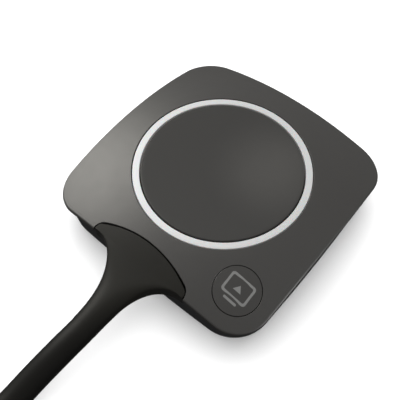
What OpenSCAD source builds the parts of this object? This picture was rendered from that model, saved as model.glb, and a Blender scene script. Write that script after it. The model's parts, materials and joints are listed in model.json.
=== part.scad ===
// Wireless presentation dongle: a square puck with a large dished push disc inside a light ring,
// a small corner button, a flared cable boot, a short cord and a USB-A plug.
// Millimetres. Origin: middle of the housing, on the table. The cord leaves towards -Y.

/* [Housing] */
// Width and depth of the housing across the middle of its sides
body_w = 59.3; // [58:0.1:64]
// Height from the table to the top of the light ring
body_h = 16.3; // [15.8:0.1:19]
// Radius of the slightly bowed sides
side_r = 480; // [300:10:900]
// How far the centres of the rim's corner arcs lie in from the sides
corner_in = 9.25; // [8:0.25:10.5]
// How far the crowned top falls from the light ring to a corner
crown_drop = 5.74; // [4:0.02:6]
// Thickness of the top cover
cover_t = 1.6; // [1.3:0.1:1.8]
// Rounding of the top cover's rim
rim_r = 0.6; // [0.5:0.1:1.1]
// Thickness of the bottom cover's wall
wall_t = 1.6; // [1.2:0.1:1.8]
// Thickness of the bottom cover's floor
floor_t = 1.5; // [1.3:0.1:1.8]
// How far the bottom cover's top edge sits inside the rim
shell_in = 0.6; // [0.4:0.1:1]
// How much further in the bottom cover's wall is at its foot
shell_taper = 0.55; // [0.2:0.05:0.8]
// How far the centres of the bottom cover's corner arcs lie in from the sides
shell_corner_in = 11.75; // [10.5:0.25:13]
// Rounding between the bottom cover's wall and its floor
foot_r = 3.5; // [2.5:0.1:4]
// Open joint between the two covers
parting_gap = 0.25; // [0.15:0.05:0.35]

/* [Push disc and light ring] */
// Width of the cover between the light ring and the middle of a side
ring_margin = 8.8; // [8.4:0.05:9.6]
// Width of the light ring
ring_w = 1.62; // [1.5:0.02:1.9]
// Radial gap round the push disc
disc_gap = 0.28; // [0.2:0.02:0.4]
// Depth of the hollow in the push disc's face
disc_dish = 0.9; // [0.4:0.1:1.2]
// How far the push disc's edge lies below the light ring
disc_sink = 0.35; // [0.1:0.05:0.6]
// Travel of the push disc
disc_travel = 0.6; // [0.3:0.1:0.7]
// Lights under the ring
led_count = 12; // [8:1:16]

/* [Corner button] */
// Width of the cover between the light ring and the corner button
key_ring_margin = 3.27; // [3.2:0.01:3.8]
// Width of the cover between the corner button and the corner
key_corner_margin = 3.24; // [3.1:0.01:3.8]
// Radial gap round the corner button
key_gap = 0.28; // [0.2:0.02:0.35]
// Travel of the corner button
key_travel = 0.5; // [0.3:0.1:0.5]

/* [Inside] */
// Height of the circuit board's underside above the table
board_z = 4.6; // [4.3:0.1:5]
// Thickness of the circuit board
board_t = 1; // [0.8:0.1:1.2]
// Height of the rubber feet below the bottom cover
foot_show = 0.5; // [0.3:0.1:0.8]
// Radius of the rubber feet
foot_pad_r = 3.3; // [2.8:0.1:3.6]
// Thread radius of the housing screws
screw_r = 1; // [0.8:0.1:1.1]

/* [Cable boot] */
// Width of the boot where it meets the rim
boot_w = 25.8; // [22:0.2:28]
// Radius of the boot's curved inner edge
boot_arc_r = 30.3; // [26:0.1:40]
// How far the boot reaches in from the rim
boot_reach = 4.87; // [4:0.01:5.2]
// Open seam round the boot
seam_gap = 0.15; // [0.1:0.05:0.2]

/* [Cord and plug] */
// Diameter of the cord
cord_d = 6; // [5:0.1:6.2]
// Width of the plug's moulded grip
grip_w = 16; // [14:0.5:18]
// Length of the plug's moulded grip
grip_l = 25; // [20:0.5:32]
// Width of the plug's metal shell
shell_w = 12; // [11.5:0.1:12.2]
// Thickness of the plug's metal shell
shell_h = 4.5; // [4.4:0.1:4.8]
// Length of the plug's metal shell
shell_l = 18.75; // [16:0.05:20]
// Sheet thickness of the plug's metal shell
sheet_t = 0.3; // [0.25:0.05:0.4]

/* [Hidden] */
$fn = 96;
crown_fn = 360;
cut_over = 1;

// Outline of the housing, shared by both covers
half_w = body_w / 2;
rim_c = half_w - corner_in;
shell_c = half_w - shell_corner_in;
side_steps = 4;
corner_steps = 10;
ring_r = half_w - ring_margin;
ring_in = ring_r - ring_w;
corner_reach = norm([rim_c, rim_c]) + arc_r(rim_c, 0);
crown_depth = (corner_reach * corner_reach - ring_in * ring_in + crown_drop * crown_drop) / (2 * crown_drop);
crown_r = norm([crown_depth, ring_in]);
crown_z = body_h - crown_depth;
rim_steps = 5;
dome_steps = 4;
wall_steps = 6;

// Joint between the covers
lip_gap = 0.25;
lip_t = 0.9;
lip_h = 2;
shell_floor_z = foot_show + floor_t;
inner_foot_r = 2;

// Light ring, its guide tube and the reflector round it
ring_fit = 0.2;
ring_bevel = 0.15;
ring_flange_w = 1.35;
ring_flange_t = 1;
ring_flange_gap = 0.15;
guide_t = 1.5;
guide_out = 0.65;
ring_hole_r = ring_r + ring_fit;
ring_flange_r = ring_r + ring_flange_w;
ring_flange_z = skin_z(ring_flange_r, cover_t) - ring_flange_gap;
guide_r = ring_r + guide_out;
guide_in_r = guide_r - guide_t;
board_top = board_z + board_t;
web_gap = 0.8;
web_t = 0.8;
web_z = board_top + web_gap;
guide_rest = 0.1;
guide_z = web_z + web_t + guide_rest;
reflector_gap = 0.3;
reflector_t = 1;
reflector_hook_gap = 1.4;
reflector_r = guide_r + reflector_gap + reflector_t;
reflector_in_r = guide_in_r - reflector_gap;
led_w = 1.6;
led_d = 1.2;
led_h = 0.7;
led_r = (guide_r + guide_in_r) / 2;
window_w = 2.2;
window_d = 1.2;

// Push disc
disc_r = ring_in - disc_gap;
disc_t = 1.4;
disc_edge = 0.35;
disc_rim_z = body_h - disc_sink;
disc_under_z = disc_rim_z - disc_dish - disc_t;
disc_steps = 12;
skirt_t = 1.3;
hook_out = 0.75;
hook_t = 0.8;
hook_gap = 0.12;
hook_ledge_up = 0.3;
hook_ledge_z = ring_flange_z + hook_ledge_up;
hook_top_z = hook_ledge_z - hook_gap;
hook_low_z = hook_top_z - hook_t;
post_count = 3;
post_turn = 90;
post_circle_share = 0.63;
post_circle = disc_r * post_circle_share;
post_r = 1.4;
post_fit = 0.1;
post_foot_gap = 0.9;
plunger_r = 2.2;

// Guide frame of the push disc, standing on the board
inner_h = disc_under_z - board_top;
guide_plate_t = 1;
guide_leg_share = 0.45;
shield_h_share = 0.2;
guide_plate_z = board_top + inner_h * guide_leg_share;
guide_plate_gap = 0.35;
guide_plate_r = reflector_in_r - reflector_t - guide_plate_gap;
guide_hole_r = 4.7;
sleeve_t = 1.1;
sleeve_drop = 1.2;
leg_r = 1.5;
leg_turn = 30;
leg_in = 0.8;
leg_circle = guide_plate_r - leg_r - leg_in;
leg_y = leg_circle * sin(leg_turn);
rib_w = 1;
rib_h = 0.8;
rib_gap = 0.4;
sleeve_rib_gap = 0.85;
sleeve_top_z = disc_under_z - rib_h - disc_travel - sleeve_rib_gap;
bumper_t = 1.2;
bumper_gap = 0.15;

// Switches
disc_case_w = 6.2;
disc_case_share = 0.45;
disc_case_h = inner_h * disc_case_share;
disc_stem_r = 1.75;
disc_stem_show = 0.9;
disc_stem_in = 0.8;
stem_fit = 0.15;
stem_spare = 0.3;
key_case_w = 4.5;
key_case_share = 0.37;
key_stem_r = 1;
key_stem_show = 0.8;
key_stem_in = 0.5;
case_cap_t = 0.25;

// Corner button
key_r = (corner_reach - key_corner_margin - ring_r - key_ring_margin) / 2;
key_c = (ring_r + key_ring_margin + key_r) / sqrt(2);
key_ear_t = 0.6;
key_ear_out = 0.8;
key_ear_w = 2.2;
key_ear_turn = 45;
key_well_t = 0.9;
key_well_gap = 0.12;
key_clear = 0.35;
shell_edge_r = norm([shell_c, shell_c]) + arc_r(shell_c, shell_in + wall_t);
key_low_z = skin_z(shell_edge_r, cover_t + parting_gap) + key_clear + key_travel;
key_well_z = key_low_z + key_ear_t + key_well_gap;
key_case_h = (key_low_z - board_top) * key_case_share;
key_plunger_r = 1.3;
key_hole_r = key_r + key_gap;

// Screws, bosses and feet, at three corners; the fourth corner has a plain post under the button
boss_out = 2.2;
boss_c = shell_c + boss_out;
boss_r = 2.4;
bore_fit = 0.05;
head_r = 1.9;
head_h = 1.1;
head_bore_fit = 0.25;
head_seat_t = 1.5;
hole_fit = 0.2;
foot_sink = 0.8;
foot_chamfer = 0.25;
foot_fit = 0.1;
screw_end_gap = 0.4;
low_boss_r = 3.1;
slot_w = 0.5;
slot_l = 2.2;
slot_depth = 0.5;
post_low_r = 2;
screw_corners = [[1, 1], [-1, 1], [-1, -1]];
all_corners = [[1, 1], [-1, 1], [-1, -1], [1, -1]];
head_low_z = board_z - head_seat_t - head_h;
screw_tip_z = skin_z(norm([boss_c, boss_c]) + boss_r, cover_t) - screw_end_gap;

// Circuit board and what it carries
board_gap = 2.9;
board_corner_r = 6;
board_half = half_w - shell_in - shell_taper - board_gap;
root_half = 8;
root_gap = 0.3;
notch_half = root_half + root_gap;
well_r = reflector_in_r - reflector_t;
shield_case_gap = 1;
shield_well_gap = 4;
shield_leg_gap = 0.3;
shield_w = well_r - shield_well_gap - disc_case_w / 2 - shield_case_gap;
shield_d = 2 * (leg_y - leg_r - shield_leg_gap);
shield_h = inner_h * shield_h_share;
shield_t = 0.2;
shield_x = -well_r + shield_well_gap + shield_w / 2;
shield_vent_r = 0.5;
shield_columns = 3;
shield_rows = 5;
chip_leg_gap = 2;
chip_w = 2 * (leg_y - leg_r - chip_leg_gap);
chip_h = 1;
chip_at = (disc_case_w / 2 + well_r) / 2;
memory_w = 8;
memory_d = 5;
memory_h = 0.9;
part_w = 1.6;
part_d = 0.9;
part_h = 0.7;
part_pitch = 1.7;
part_count = 5;
crystal_w = 3.2;
crystal_d = 2.5;
crystal_h = 0.8;
row_gap = (leg_circle - leg_r - disc_case_w / 2 - part_w - crystal_d) / 3;
part_y = -disc_case_w / 2 - row_gap - part_w / 2;
crystal_y = leg_r - leg_circle + row_gap + crystal_d / 2;
antenna_l = 10;
antenna_h = 3;
antenna_t = 0.3;
antenna_foot = 1.2;
antenna_gap = 0.6;
antenna_x = reflector_r + antenna_gap;

// Cord: its route is a list of points, from the boot to the plug
cord_route = [[0, -46, 8.2], [0, -48, 8.2], [-0.2, -51, 7.9], [-0.5, -54, 7.2], [-0.9, -57, 6.2],
    [-1.3, -60, 5.1], [-1.6, -63, 4.1], [-1.8, -66, 3.4], [-2, -70, 3], [-2, -75, 3], [-2, -78, 3.2],
    [-2, -81, 3.6], [-2, -84, 3.9], [-2, -87, 4], [-2, -88, 4]];
cord_sides = 12;
cord_from = cord_route[0];
cord_to = cord_route[len(cord_route) - 1];

// Cable boot: the inlay in the cover, the root in the wall and the flare outside
root_more = 1.45;
root_in_y = -half_w + boot_reach + root_more;
root_wall_half = 7.5;
root_wall_fit = 0.15;
root_lift = 1.4;
root_low_z = shell_floor_z + root_lift;
root_top_gap = 0.2;
root_slot_up = 0.9;
root_slot_z = foot_show + foot_r + root_slot_up;
root_wall_in = 0.5;
root_wall_y = -half_w + shell_in + shell_taper + wall_t + root_wall_in;
inlay_corner_r = 1.1;
boot_half = boot_w / 2;
flare_start = 0.5;
flare_y = -half_w + flare_start;
flare_l = flare_y - cord_from.y;
flare_edge = 0.2;
flare_power = 0.5;
flare_top_gap = 0.05;
flare_down = 1.2;
flare_steps = 14;
flare_sides = 40;
neck_over = 0.05;
neck_r = cord_d / 2 + neck_over;
core_share = 0.57;
core_half = boot_half * core_share;
wing_half = 1.1;
wing_power = 1.2;
round_power = 2;
flat_power = 12;

// Leads inside the housing
wire_r = 0.4;
wire_count = 4;
wire_pitch = 1.3;
wire_drop = 0.7;
wire_z = board_z - wire_drop;
connector_w = 6.6;
connector_d = 2.6;
connector_h = 1.3;
lead_l = 4.6;
connector_y = root_in_y + lead_l;
socket_w = 7.4;
socket_d = 2.8;
socket_h = 1.6;

// Plug, lying flat on the table
grip_h = 2 * cord_to.z;
grip_r = 2.4;
grip_neck_share = 0.28;
grip_neck_l = grip_l * grip_neck_share;
grip_neck_fit = 0.5;
grip_ridge_w = 0.8;
grip_ridge_pitch = 3.2;
grip_ridge_from = 4.8;
grip_ridge_depth = 0.35;
grip_ridge_count = 4;
shell_corner_r = 0.7;
tongue_fit = 0.1;
tongue_w = shell_w - 2 * shell_corner_r - tongue_fit;
tongue_h = 1.9;
tongue_short = 1.2;
contact_w = 1;
contact_t = 0.15;
contact_short = 1.6;
contact_pitch = 2.25;
contact_count = 4;
catch_w = 2.3;
catch_d = 2.2;
catch_pitch = 5.8;
catch_from_tip = 6.2;
plug_y = cord_to.y - grip_l;

// Height of a skin a given depth below the crowned top, at a distance from the middle
function skin_z(r, depth) = crown_z + sqrt((crown_r - depth) * (crown_r - depth) - r * r);

// Radius of the corner arc that runs into both bowed sides
function arc_r(c, inset) = side_r - inset - norm([side_r - half_w + c, c]);

function turned(p, a) = [p.x * cos(a) - p.y * sin(a), p.x * sin(a) + p.y * cos(a)];

// A quarter of the rounded square: one bowed side, then one corner
function quarter(c, inset) =
    let (t = atan2(c, side_r - half_w + c), cr = arc_r(c, inset))
    concat(
        [for (i = [0:side_steps]) let (a = -t + 2 * t * i / side_steps)
            [half_w - side_r + (side_r - inset) * cos(a), (side_r - inset) * sin(a)]],
        [for (i = [1:corner_steps - 1]) let (a = t + (90 - 2 * t) * i / corner_steps)
            [c + cr * cos(a), c + cr * sin(a)]]);

function outline(c, inset) = [for (q = [0:3]) for (p = quarter(c, inset)) turned(p, q * 90)];

// The outline at a fixed height, and the outline laid on a skin under the crown
function level(c, inset, z) = [for (p = outline(c, inset)) [p.x, p.y, z]];
function laid(c, inset, depth) = [for (p = outline(c, inset)) [p.x, p.y, skin_z(norm(p), depth)]];

// The outline drawn in towards a circle, laid on a skin under the crown
function drawn_in(c, inset, r, share, depth) =
    [for (p = outline(c, inset)) let (q = p * (1 - share) + p / norm(p) * r * share)
        [q.x, q.y, skin_z(norm(q), depth)]];

// Closed surface through a stack of rings with equal numbers of points
module skin(rings, looped = false) {
    n = len(rings[0]);
    m = len(rings);
    walls = [for (k = [0:(looped ? m : m - 1) - 1]) for (i = [0:n - 1])
        let (a = k * n + i, b = k * n + (i + 1) % n, c = ((k + 1) % m) * n + i, d = ((k + 1) % m) * n + (i + 1) % n)
        each [[a, c, d], [a, d, b]]];
    ends = looped ? [] : [[for (i = [0:n - 1]) i], [for (i = [n - 1:-1:0]) (m - 1) * n + i]];
    polyhedron([for (ring = rings) each ring], concat(walls, ends), convexity = 8);
}

module tube(r_out, r_in, z_low, z_top) {
    translate([0, 0, z_low])
        difference() {
            cylinder(r = r_out, h = z_top - z_low);
            translate([0, 0, -cut_over])
                cylinder(r = r_in, h = z_top - z_low + 2 * cut_over);
        }
}

module rod(r, z_low, z_top) {
    translate([0, 0, z_low])
        cylinder(r = r, h = z_top - z_low);
}

// A block centred in x and y on a point, standing on its height
module block(size, at) {
    translate([at.x - size.x / 2, at.y - size.y / 2, at.z])
        cube(size);
}

module round_rect(w, d, r) {
    square([w - 2 * r, d], center = true);
    square([w, d - 2 * r], center = true);
    for (x = [-1, 1], y = [-1, 1])
        translate([x * (w / 2 - r), y * (d / 2 - r)])
            circle(r = r);
}

module around(count, r, turn = 0) {
    for (i = [0:count - 1])
        rotate([0, 0, turn + i * 360 / count])
            translate([r, 0, 0])
                children();
}

module at_corners(list, c) {
    for (s = list)
        translate([s.x * c, s.y * c, 0])
            children();
}

// Plan of the boot's inlay in the top cover: a wide arc with rounded ends
module inlay_plan(gap) {
    arc_y = -half_w + boot_reach - boot_arc_r;
    end_x = boot_half - inlay_corner_r;
    end_r = boot_arc_r - inlay_corner_r;
    end_y = arc_y + sqrt(end_r * end_r - end_x * end_x);
    touch_x = end_x / end_r * (boot_arc_r + gap);
    intersection() {
        translate([0, arc_y])
            circle(r = boot_arc_r + gap);
        translate([-touch_x, -half_w - cut_over])
            square([2 * touch_x, boot_reach + gap + 2 * cut_over]);
    }
    for (side = [-1, 1])
        translate([side * end_x, end_y])
            circle(r = inlay_corner_r + gap);
    translate([-boot_half - gap, -half_w - cut_over])
        square([boot_w + 2 * gap, end_y + half_w + cut_over]);
}

module top_cover() {
    lip_out = shell_in + wall_t + lip_gap;
    lip_in = lip_out + lip_t;
    rim = [for (i = [0:rim_steps]) let (a = 90 * i / rim_steps, inset = rim_r * (1 - cos(a)))
        [for (p = outline(rim_c, inset)) [p.x, p.y, skin_z(norm(p), rim_r * (1 - sin(a)))]]];
    dome = [for (i = [1:dome_steps])
        drawn_in(rim_c, rim_r, ring_hole_r - cut_over, i / dome_steps, 0)];
    inner = [for (i = [0:dome_steps])
        drawn_in(shell_c, lip_in, ring_hole_r - cut_over, 1 - i / dome_steps, cover_t)];
    color([0.27, 0.26, 0.25])
        difference() {
            union() {
                skin(concat(
                    [laid(rim_c, 0, cover_t)], rim, dome, inner,
                    [laid(shell_c, lip_in, cover_t + lip_h), laid(shell_c, lip_out, cover_t + lip_h),
                        laid(shell_c, lip_out, cover_t)]), looped = true);
                at_corners(screw_corners, boss_c)
                    rod(boss_r, board_top, skin_z(norm([boss_c, boss_c]) + boss_r, cover_t / 2));
                intersection() {
                    translate([key_c, -key_c, 0])
                        rod(key_hole_r + key_well_t, key_well_z, body_h);
                    under_crown(cover_t / 2);
                }
            }
            rod(ring_hole_r, 0, body_h + cut_over);
            translate([key_c, -key_c, 0])
                rod(key_hole_r, 0, body_h + cut_over);
            at_corners(screw_corners, boss_c)
                rod(screw_r + bore_fit, board_top - cut_over, screw_tip_z);
            translate([0, 0, board_top])
                linear_extrude(body_h)
                    inlay_plan(seam_gap);
        }
}

module bottom_cover() {
    foot_in = shell_in + shell_taper;
    outer = [for (i = [0:wall_steps]) let (a = 90 * i / wall_steps)
        level(shell_c, foot_in + foot_r * (1 - sin(a)), foot_show + foot_r * (1 - cos(a)))];
    inner = [for (i = [wall_steps:-1:0]) let (a = 90 * i / wall_steps)
        level(shell_c, foot_in + wall_t + inner_foot_r * (1 - sin(a)), shell_floor_z + inner_foot_r * (1 - cos(a)))];
    color([0.16, 0.16, 0.17])
        difference() {
            union() {
                skin(concat(outer, [laid(shell_c, shell_in, cover_t + parting_gap),
                    laid(shell_c, shell_in + wall_t, cover_t + parting_gap)], inner));
                at_corners(screw_corners, boss_c)
                    rod(low_boss_r, foot_show + floor_t / 2, board_z);
                translate([boss_c, -boss_c, 0])
                    rod(post_low_r, foot_show + floor_t / 2, board_z);
            }
            at_corners(screw_corners, boss_c) {
                rod(head_r + head_bore_fit, 0, board_z - head_seat_t);
                rod(screw_r + hole_fit, 0, board_z + cut_over);
            }
            at_corners(all_corners, boss_c)
                rod(foot_pad_r + foot_fit, 0, foot_show + foot_sink);
            translate([-root_wall_half - root_wall_fit, -body_w, root_slot_z])
                cube([2 * (root_wall_half + root_wall_fit), body_w / 2 + boot_reach, body_h]);
        }
}

module light_ring() {
    color([0.93, 0.94, 0.94])
        rotate_extrude()
            polygon([
                [ring_in, hook_ledge_z], [guide_in_r, hook_ledge_z], [guide_in_r, guide_z], [guide_r, guide_z],
                [guide_r, ring_flange_z - ring_flange_t], [ring_flange_r, ring_flange_z - ring_flange_t],
                [ring_flange_r, ring_flange_z], [ring_r, ring_flange_z],
                [ring_r, skin_z(ring_r, 0) - ring_bevel], [ring_r - ring_bevel, skin_z(ring_r, 0)],
                [ring_in + ring_bevel, body_h], [ring_in, body_h - ring_bevel]]);
}

module ring_reflector() {
    color([0.85, 0.85, 0.83])
        difference() {
            union() {
                tube(reflector_r, reflector_r - reflector_t, board_top,
                    ring_flange_z - ring_flange_t - reflector_gap);
                tube(reflector_in_r, reflector_in_r - reflector_t, board_top,
                    hook_low_z - disc_travel - reflector_hook_gap);
                tube(reflector_r - reflector_t / 2, reflector_in_r - reflector_t / 2, web_z, web_z + web_t);
            }
            around(led_count, led_r)
                block([window_d, window_w, web_t + 2 * cut_over], [0, 0, web_z - cut_over]);
        }
}

module push_disc() {
    color([0.28, 0.28, 0.27]) {
        rotate_extrude()
            polygon(concat(
                [for (i = [0:disc_steps]) let (r = (disc_r - disc_edge) * i / disc_steps)
                    [r, disc_rim_z - disc_dish * (1 - pow(i / disc_steps, 2))]],
                [[disc_r, disc_rim_z - disc_edge], [disc_r, hook_top_z], [disc_r + hook_out, hook_top_z],
                    [disc_r + hook_out, hook_low_z], [disc_r - skirt_t, hook_low_z],
                    [disc_r - skirt_t, disc_under_z], [0, disc_under_z]]));
        around(post_count, post_circle, post_turn)
            rod(post_r, board_top + shield_h + post_foot_gap, disc_under_z + disc_t / 2);
        rod(plunger_r, board_top + disc_case_h + disc_stem_show, disc_under_z + disc_t / 2);
        around(post_count, 0, post_turn)
            translate([0, -rib_w / 2, disc_under_z - rib_h])
                cube([guide_plate_r - bumper_t - rib_gap, rib_w, rib_h + disc_t / 2]);
    }
}

module disc_guide() {
    color([0.2, 0.2, 0.21])
        difference() {
            union() {
                rod(guide_plate_r, guide_plate_z, guide_plate_z + guide_plate_t);
                around(post_count, post_circle, post_turn)
                    rod(post_r + post_fit + sleeve_t, guide_plate_z - sleeve_drop, sleeve_top_z);
                around(post_count, leg_circle, leg_turn)
                    rod(leg_r, board_top, guide_plate_z + guide_plate_t);
            }
            rod(guide_hole_r, 0, body_h);
            around(post_count, post_circle, post_turn)
                rod(post_r + post_fit, 0, body_h);
        }
}

module disc_bumper() {
    top_z = hook_low_z - disc_travel - bumper_gap;
    color([0.35, 0.35, 0.36])
        tube(guide_plate_r, guide_plate_r - bumper_t, guide_plate_z + guide_plate_t, top_z);
}

// A push switch's case: a square body with a thin cover plate and a bore for its stem
module switch_case(w, h, stem_r, depth) {
    difference() {
        union() {
            block([w, w, h - case_cap_t], [0, 0, board_top]);
            block([w - 2 * case_cap_t, w - 2 * case_cap_t, case_cap_t], [0, 0, board_top + h - case_cap_t]);
        }
        rod(stem_r + stem_fit, board_top + h - depth, board_top + h + cut_over);
    }
}

module disc_switch_case() {
    color([0.13, 0.13, 0.14])
        switch_case(disc_case_w, disc_case_h, disc_stem_r, disc_stem_in + disc_travel + stem_spare);
}

module disc_switch_stem() {
    color([0.75, 0.2, 0.15])
        rod(disc_stem_r, board_top + disc_case_h - disc_stem_in, board_top + disc_case_h + disc_stem_show);
}

module corner_button() {
    color([0.27, 0.26, 0.25])
        translate([key_c, -key_c, 0]) {
            intersection() {
                rod(key_r, key_low_z, body_h);
                translate([-key_c, key_c, 0])
                    under_crown(0);
            }
            intersection() {
                rod(key_r + key_ear_out, key_low_z, key_low_z + key_ear_t);
                rotate([0, 0, key_ear_turn])
                    block([body_w, key_ear_w, body_h], [0, 0, 0]);
            }
            rod(key_plunger_r, board_top + key_case_h + key_stem_show, key_low_z + key_ear_t);
        }
}

module corner_switch_case() {
    color([0.13, 0.13, 0.14])
        translate([key_c, -key_c, 0])
            switch_case(key_case_w, key_case_h, key_stem_r, key_stem_in + key_travel + stem_spare);
}

module corner_switch_stem() {
    color([0.75, 0.2, 0.15])
        translate([key_c, -key_c, 0])
            rod(key_stem_r, board_top + key_case_h - key_stem_in, board_top + key_case_h + key_stem_show);
}

module circuit_board() {
    color([0.1, 0.3, 0.18])
        translate([0, 0, board_z])
            linear_extrude(board_t)
                difference() {
                    round_rect(2 * board_half, 2 * board_half, board_corner_r);
                    translate([-notch_half, -half_w])
                        square([2 * notch_half, half_w + root_in_y + root_gap]);
                    for (s = screw_corners)
                        translate([s.x * boss_c, s.y * boss_c])
                            circle(r = screw_r + hole_fit);
                }
}

module ring_lights() {
    color([0.96, 0.95, 0.85])
        around(led_count, led_r)
            block([led_d, led_w, led_h], [0, 0, board_top]);
}

module radio_shield() {
    color([0.75, 0.75, 0.76])
        difference() {
            block([shield_w, shield_d, shield_h], [shield_x, 0, board_top]);
            block([shield_w - 2 * shield_t, shield_d - 2 * shield_t, shield_h - shield_t],
                [shield_x, 0, board_top]);
            for (i = [(1 - shield_columns) / 2:(shield_columns - 1) / 2],
                j = [(1 - shield_rows) / 2:(shield_rows - 1) / 2])
                translate([shield_x + i * shield_w / (shield_columns + 1), j * shield_d / (shield_rows + 1), 0])
                    rod(shield_vent_r, board_top, board_top + shield_h + cut_over);
        }
}

module processor_chip() {
    color([0.08, 0.08, 0.09])
        block([chip_w, chip_w, chip_h], [chip_at, 0, board_top]);
}

module memory_chip() {
    color([0.1, 0.1, 0.11])
        block([memory_w, memory_d, memory_h], [0, chip_at, board_top]);
}

module board_parts() {
    color([0.55, 0.45, 0.32]) {
        for (i = [0:part_count - 1])
            block([part_d, part_w, part_h], [(i - (part_count - 1) / 2) * part_pitch, part_y, board_top]);
        block([crystal_w, crystal_d, crystal_h], [0, crystal_y, board_top]);
    }
}

// A stamped aerial: a soldered foot along the board and an upright fin
module antenna(side) {
    color([0.8, 0.78, 0.7])
        translate([side * (antenna_x + antenna_foot / 2), 0, 0]) {
            block([antenna_foot, antenna_l, antenna_t], [0, 0, board_top]);
            block([antenna_t, antenna_l, antenna_h], [side * (antenna_foot - antenna_t) / 2, 0, board_top]);
        }
}

module board_socket() {
    color([0.9, 0.88, 0.8])
        block([socket_w, socket_d, socket_h], [0, connector_y + connector_d + socket_d / 2, board_z - socket_h]);
}

module lead_connector() {
    color([0.93, 0.92, 0.88])
        block([connector_w, connector_d, connector_h], [0, connector_y + connector_d / 2, wire_z - connector_h / 2]);
}

module inner_wires() {
    for (i = [0:wire_count - 1])
        color([[0.7, 0.1, 0.1], [0.9, 0.9, 0.9], [0.1, 0.5, 0.2], [0.1, 0.1, 0.1]][i % 4])
            translate([(i - (wire_count - 1) / 2) * wire_pitch, root_in_y, wire_z])
                rotate([-90, 0, 0])
                    cylinder(r = wire_r, h = lead_l);
}

// Height of the flare's ridge: it leaves the crown in line with it and runs level into the neck
function ridge_z(v) =
    let (
        rim_z = skin_z(flare_y, 0) - flare_top_gap,
        slope = flare_y / sqrt(crown_r * crown_r - flare_y * flare_y),
        share = 2 * pow(v, 3) - 3 * pow(v, 2) + 1)
    share * rim_z + (1 - share) * (cord_from.z + neck_r) + (pow(v, 3) - 2 * pow(v, 2) + v) * slope * flare_l;

// Cross-section of the flare, thin wings on a round core that become the neck; v runs from 0 to 1
function flare_ring(v) =
    let (
        narrow = pow(1 - pow(v, flare_power), 1 / flare_power),
        w = neck_r + (boot_half - flare_edge - neck_r) * narrow,
        core = neck_r + (core_half - neck_r) * narrow,
        wing = wing_half + (neck_r - wing_half) * pow(v, wing_power),
        n = round_power + (flat_power - round_power) * pow(1 - v, 4),
        drop = ridge_z(v) - 2 * wing - (cord_from.z - neck_r - flare_down * pow(1 - v, 2)))
    [for (i = [0:flare_sides - 1])
        let (
            a = -360 * i / flare_sides,
            x = w * cos(a),
            sag = (skin_z(norm([x, flare_y]), 0) - skin_z(flare_y, 0)) * pow(1 - v, 3),
            swell = sign(sin(a)) * wing * pow(max(0, 1 - pow(abs(cos(a)), n)), 1 / n),
            belly = sin(a) < 0 ? drop * sqrt(max(0, 1 - pow(x / core, 2))) : 0)
        [x, flare_y - flare_l * v, ridge_z(v) - wing + sag + swell - belly]];

module inlay_column() {
    translate([0, 0, board_top])
        linear_extrude(body_h)
            inlay_plan(0);
}

// The ball whose surface lies a given depth under the crown
module under_crown(depth) {
    translate([0, 0, crown_z])
        sphere(r = crown_r - depth, $fn = crown_fn);
}

module cable_boot() {
    color([0.2, 0.2, 0.19]) {
        intersection() {
            inlay_column();
            difference() {
                under_crown(0);
                under_crown(cover_t);
            }
            translate([-boot_half, flare_y, 0])
                cube([boot_w, half_w, 2 * body_h]);
        }
        intersection() {
            union() {
                translate([-root_half, root_wall_y, root_low_z])
                    cube([2 * root_half, root_in_y - root_wall_y, body_h]);
                translate([-root_wall_half, flare_y, root_slot_z + root_wall_fit])
                    cube([2 * root_wall_half, root_wall_y - flare_y, body_h]);
            }
            union() {
                under_crown(cover_t + root_top_gap);
                intersection() {
                    inlay_column();
                    under_crown(cover_t / 2);
                }
            }
        }
        skin([for (i = [flare_steps:-1:0]) flare_ring(pow(i / flare_steps, 2))]);
    }
}

// A ring of points round the route, square to the way the cord runs there
function cord_ring(i) =
    let (
        last = len(cord_route) - 1,
        way = i == 0 || i == last ? [0, -1, 0] : cord_route[i + 1] - cord_route[i - 1],
        d = way / norm(way),
        side = cross(d, [0, 0, 1]) / norm(cross(d, [0, 0, 1])),
        up = cross(side, d))
    [for (k = [0:cord_sides - 1]) let (a = 360 * k / cord_sides)
        cord_route[i] + (side * cos(a) + up * sin(a)) * cord_d / 2];

module cord() {
    color([0.15, 0.15, 0.15])
        skin([for (i = [0:len(cord_route) - 1]) cord_ring(i)]);
}

// Lays an outline drawn in x and z along the plug's way, from a distance behind its tip face
module along_plug(from, l) {
    translate([cord_to.x, from, cord_to.z])
        rotate([90, 0, 0])
            linear_extrude(l)
                children();
}

module plug_grip() {
    neck_w = cord_d + 2 * grip_neck_fit;
    color([0.13, 0.13, 0.13])
        difference() {
            union() {
                along_plug(cord_to.y - grip_neck_l, grip_l - grip_neck_l)
                    round_rect(grip_w, grip_h, grip_r);
                along_plug(cord_to.y, grip_neck_l)
                    circle(d = neck_w);
            }
            for (i = [0:grip_ridge_count - 1], side = [-1, 1])
                block([2 * grip_ridge_depth, grip_ridge_w, 2 * grip_h],
                    [cord_to.x + side * grip_w / 2, plug_y + grip_ridge_from + i * grip_ridge_pitch, -cut_over]);
        }
}

module plug_shell() {
    color([0.8, 0.8, 0.82])
        difference() {
            along_plug(plug_y, shell_l)
                difference() {
                    round_rect(shell_w, shell_h, shell_corner_r);
                    round_rect(shell_w - 2 * sheet_t, shell_h - 2 * sheet_t, shell_corner_r - sheet_t);
                }
            for (side = [-1, 1])
                block([catch_w, catch_d, 2 * shell_h],
                    [cord_to.x + side * catch_pitch / 2, plug_y - shell_l + catch_from_tip, cord_to.z - shell_h]);
        }
}

module plug_tongue() {
    low_z = cord_to.z - shell_h / 2 + sheet_t;
    color([0.93, 0.93, 0.93])
        block([tongue_w, shell_l - tongue_short, tongue_h], [cord_to.x, plug_y - (shell_l - tongue_short) / 2, low_z]);
}

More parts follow.
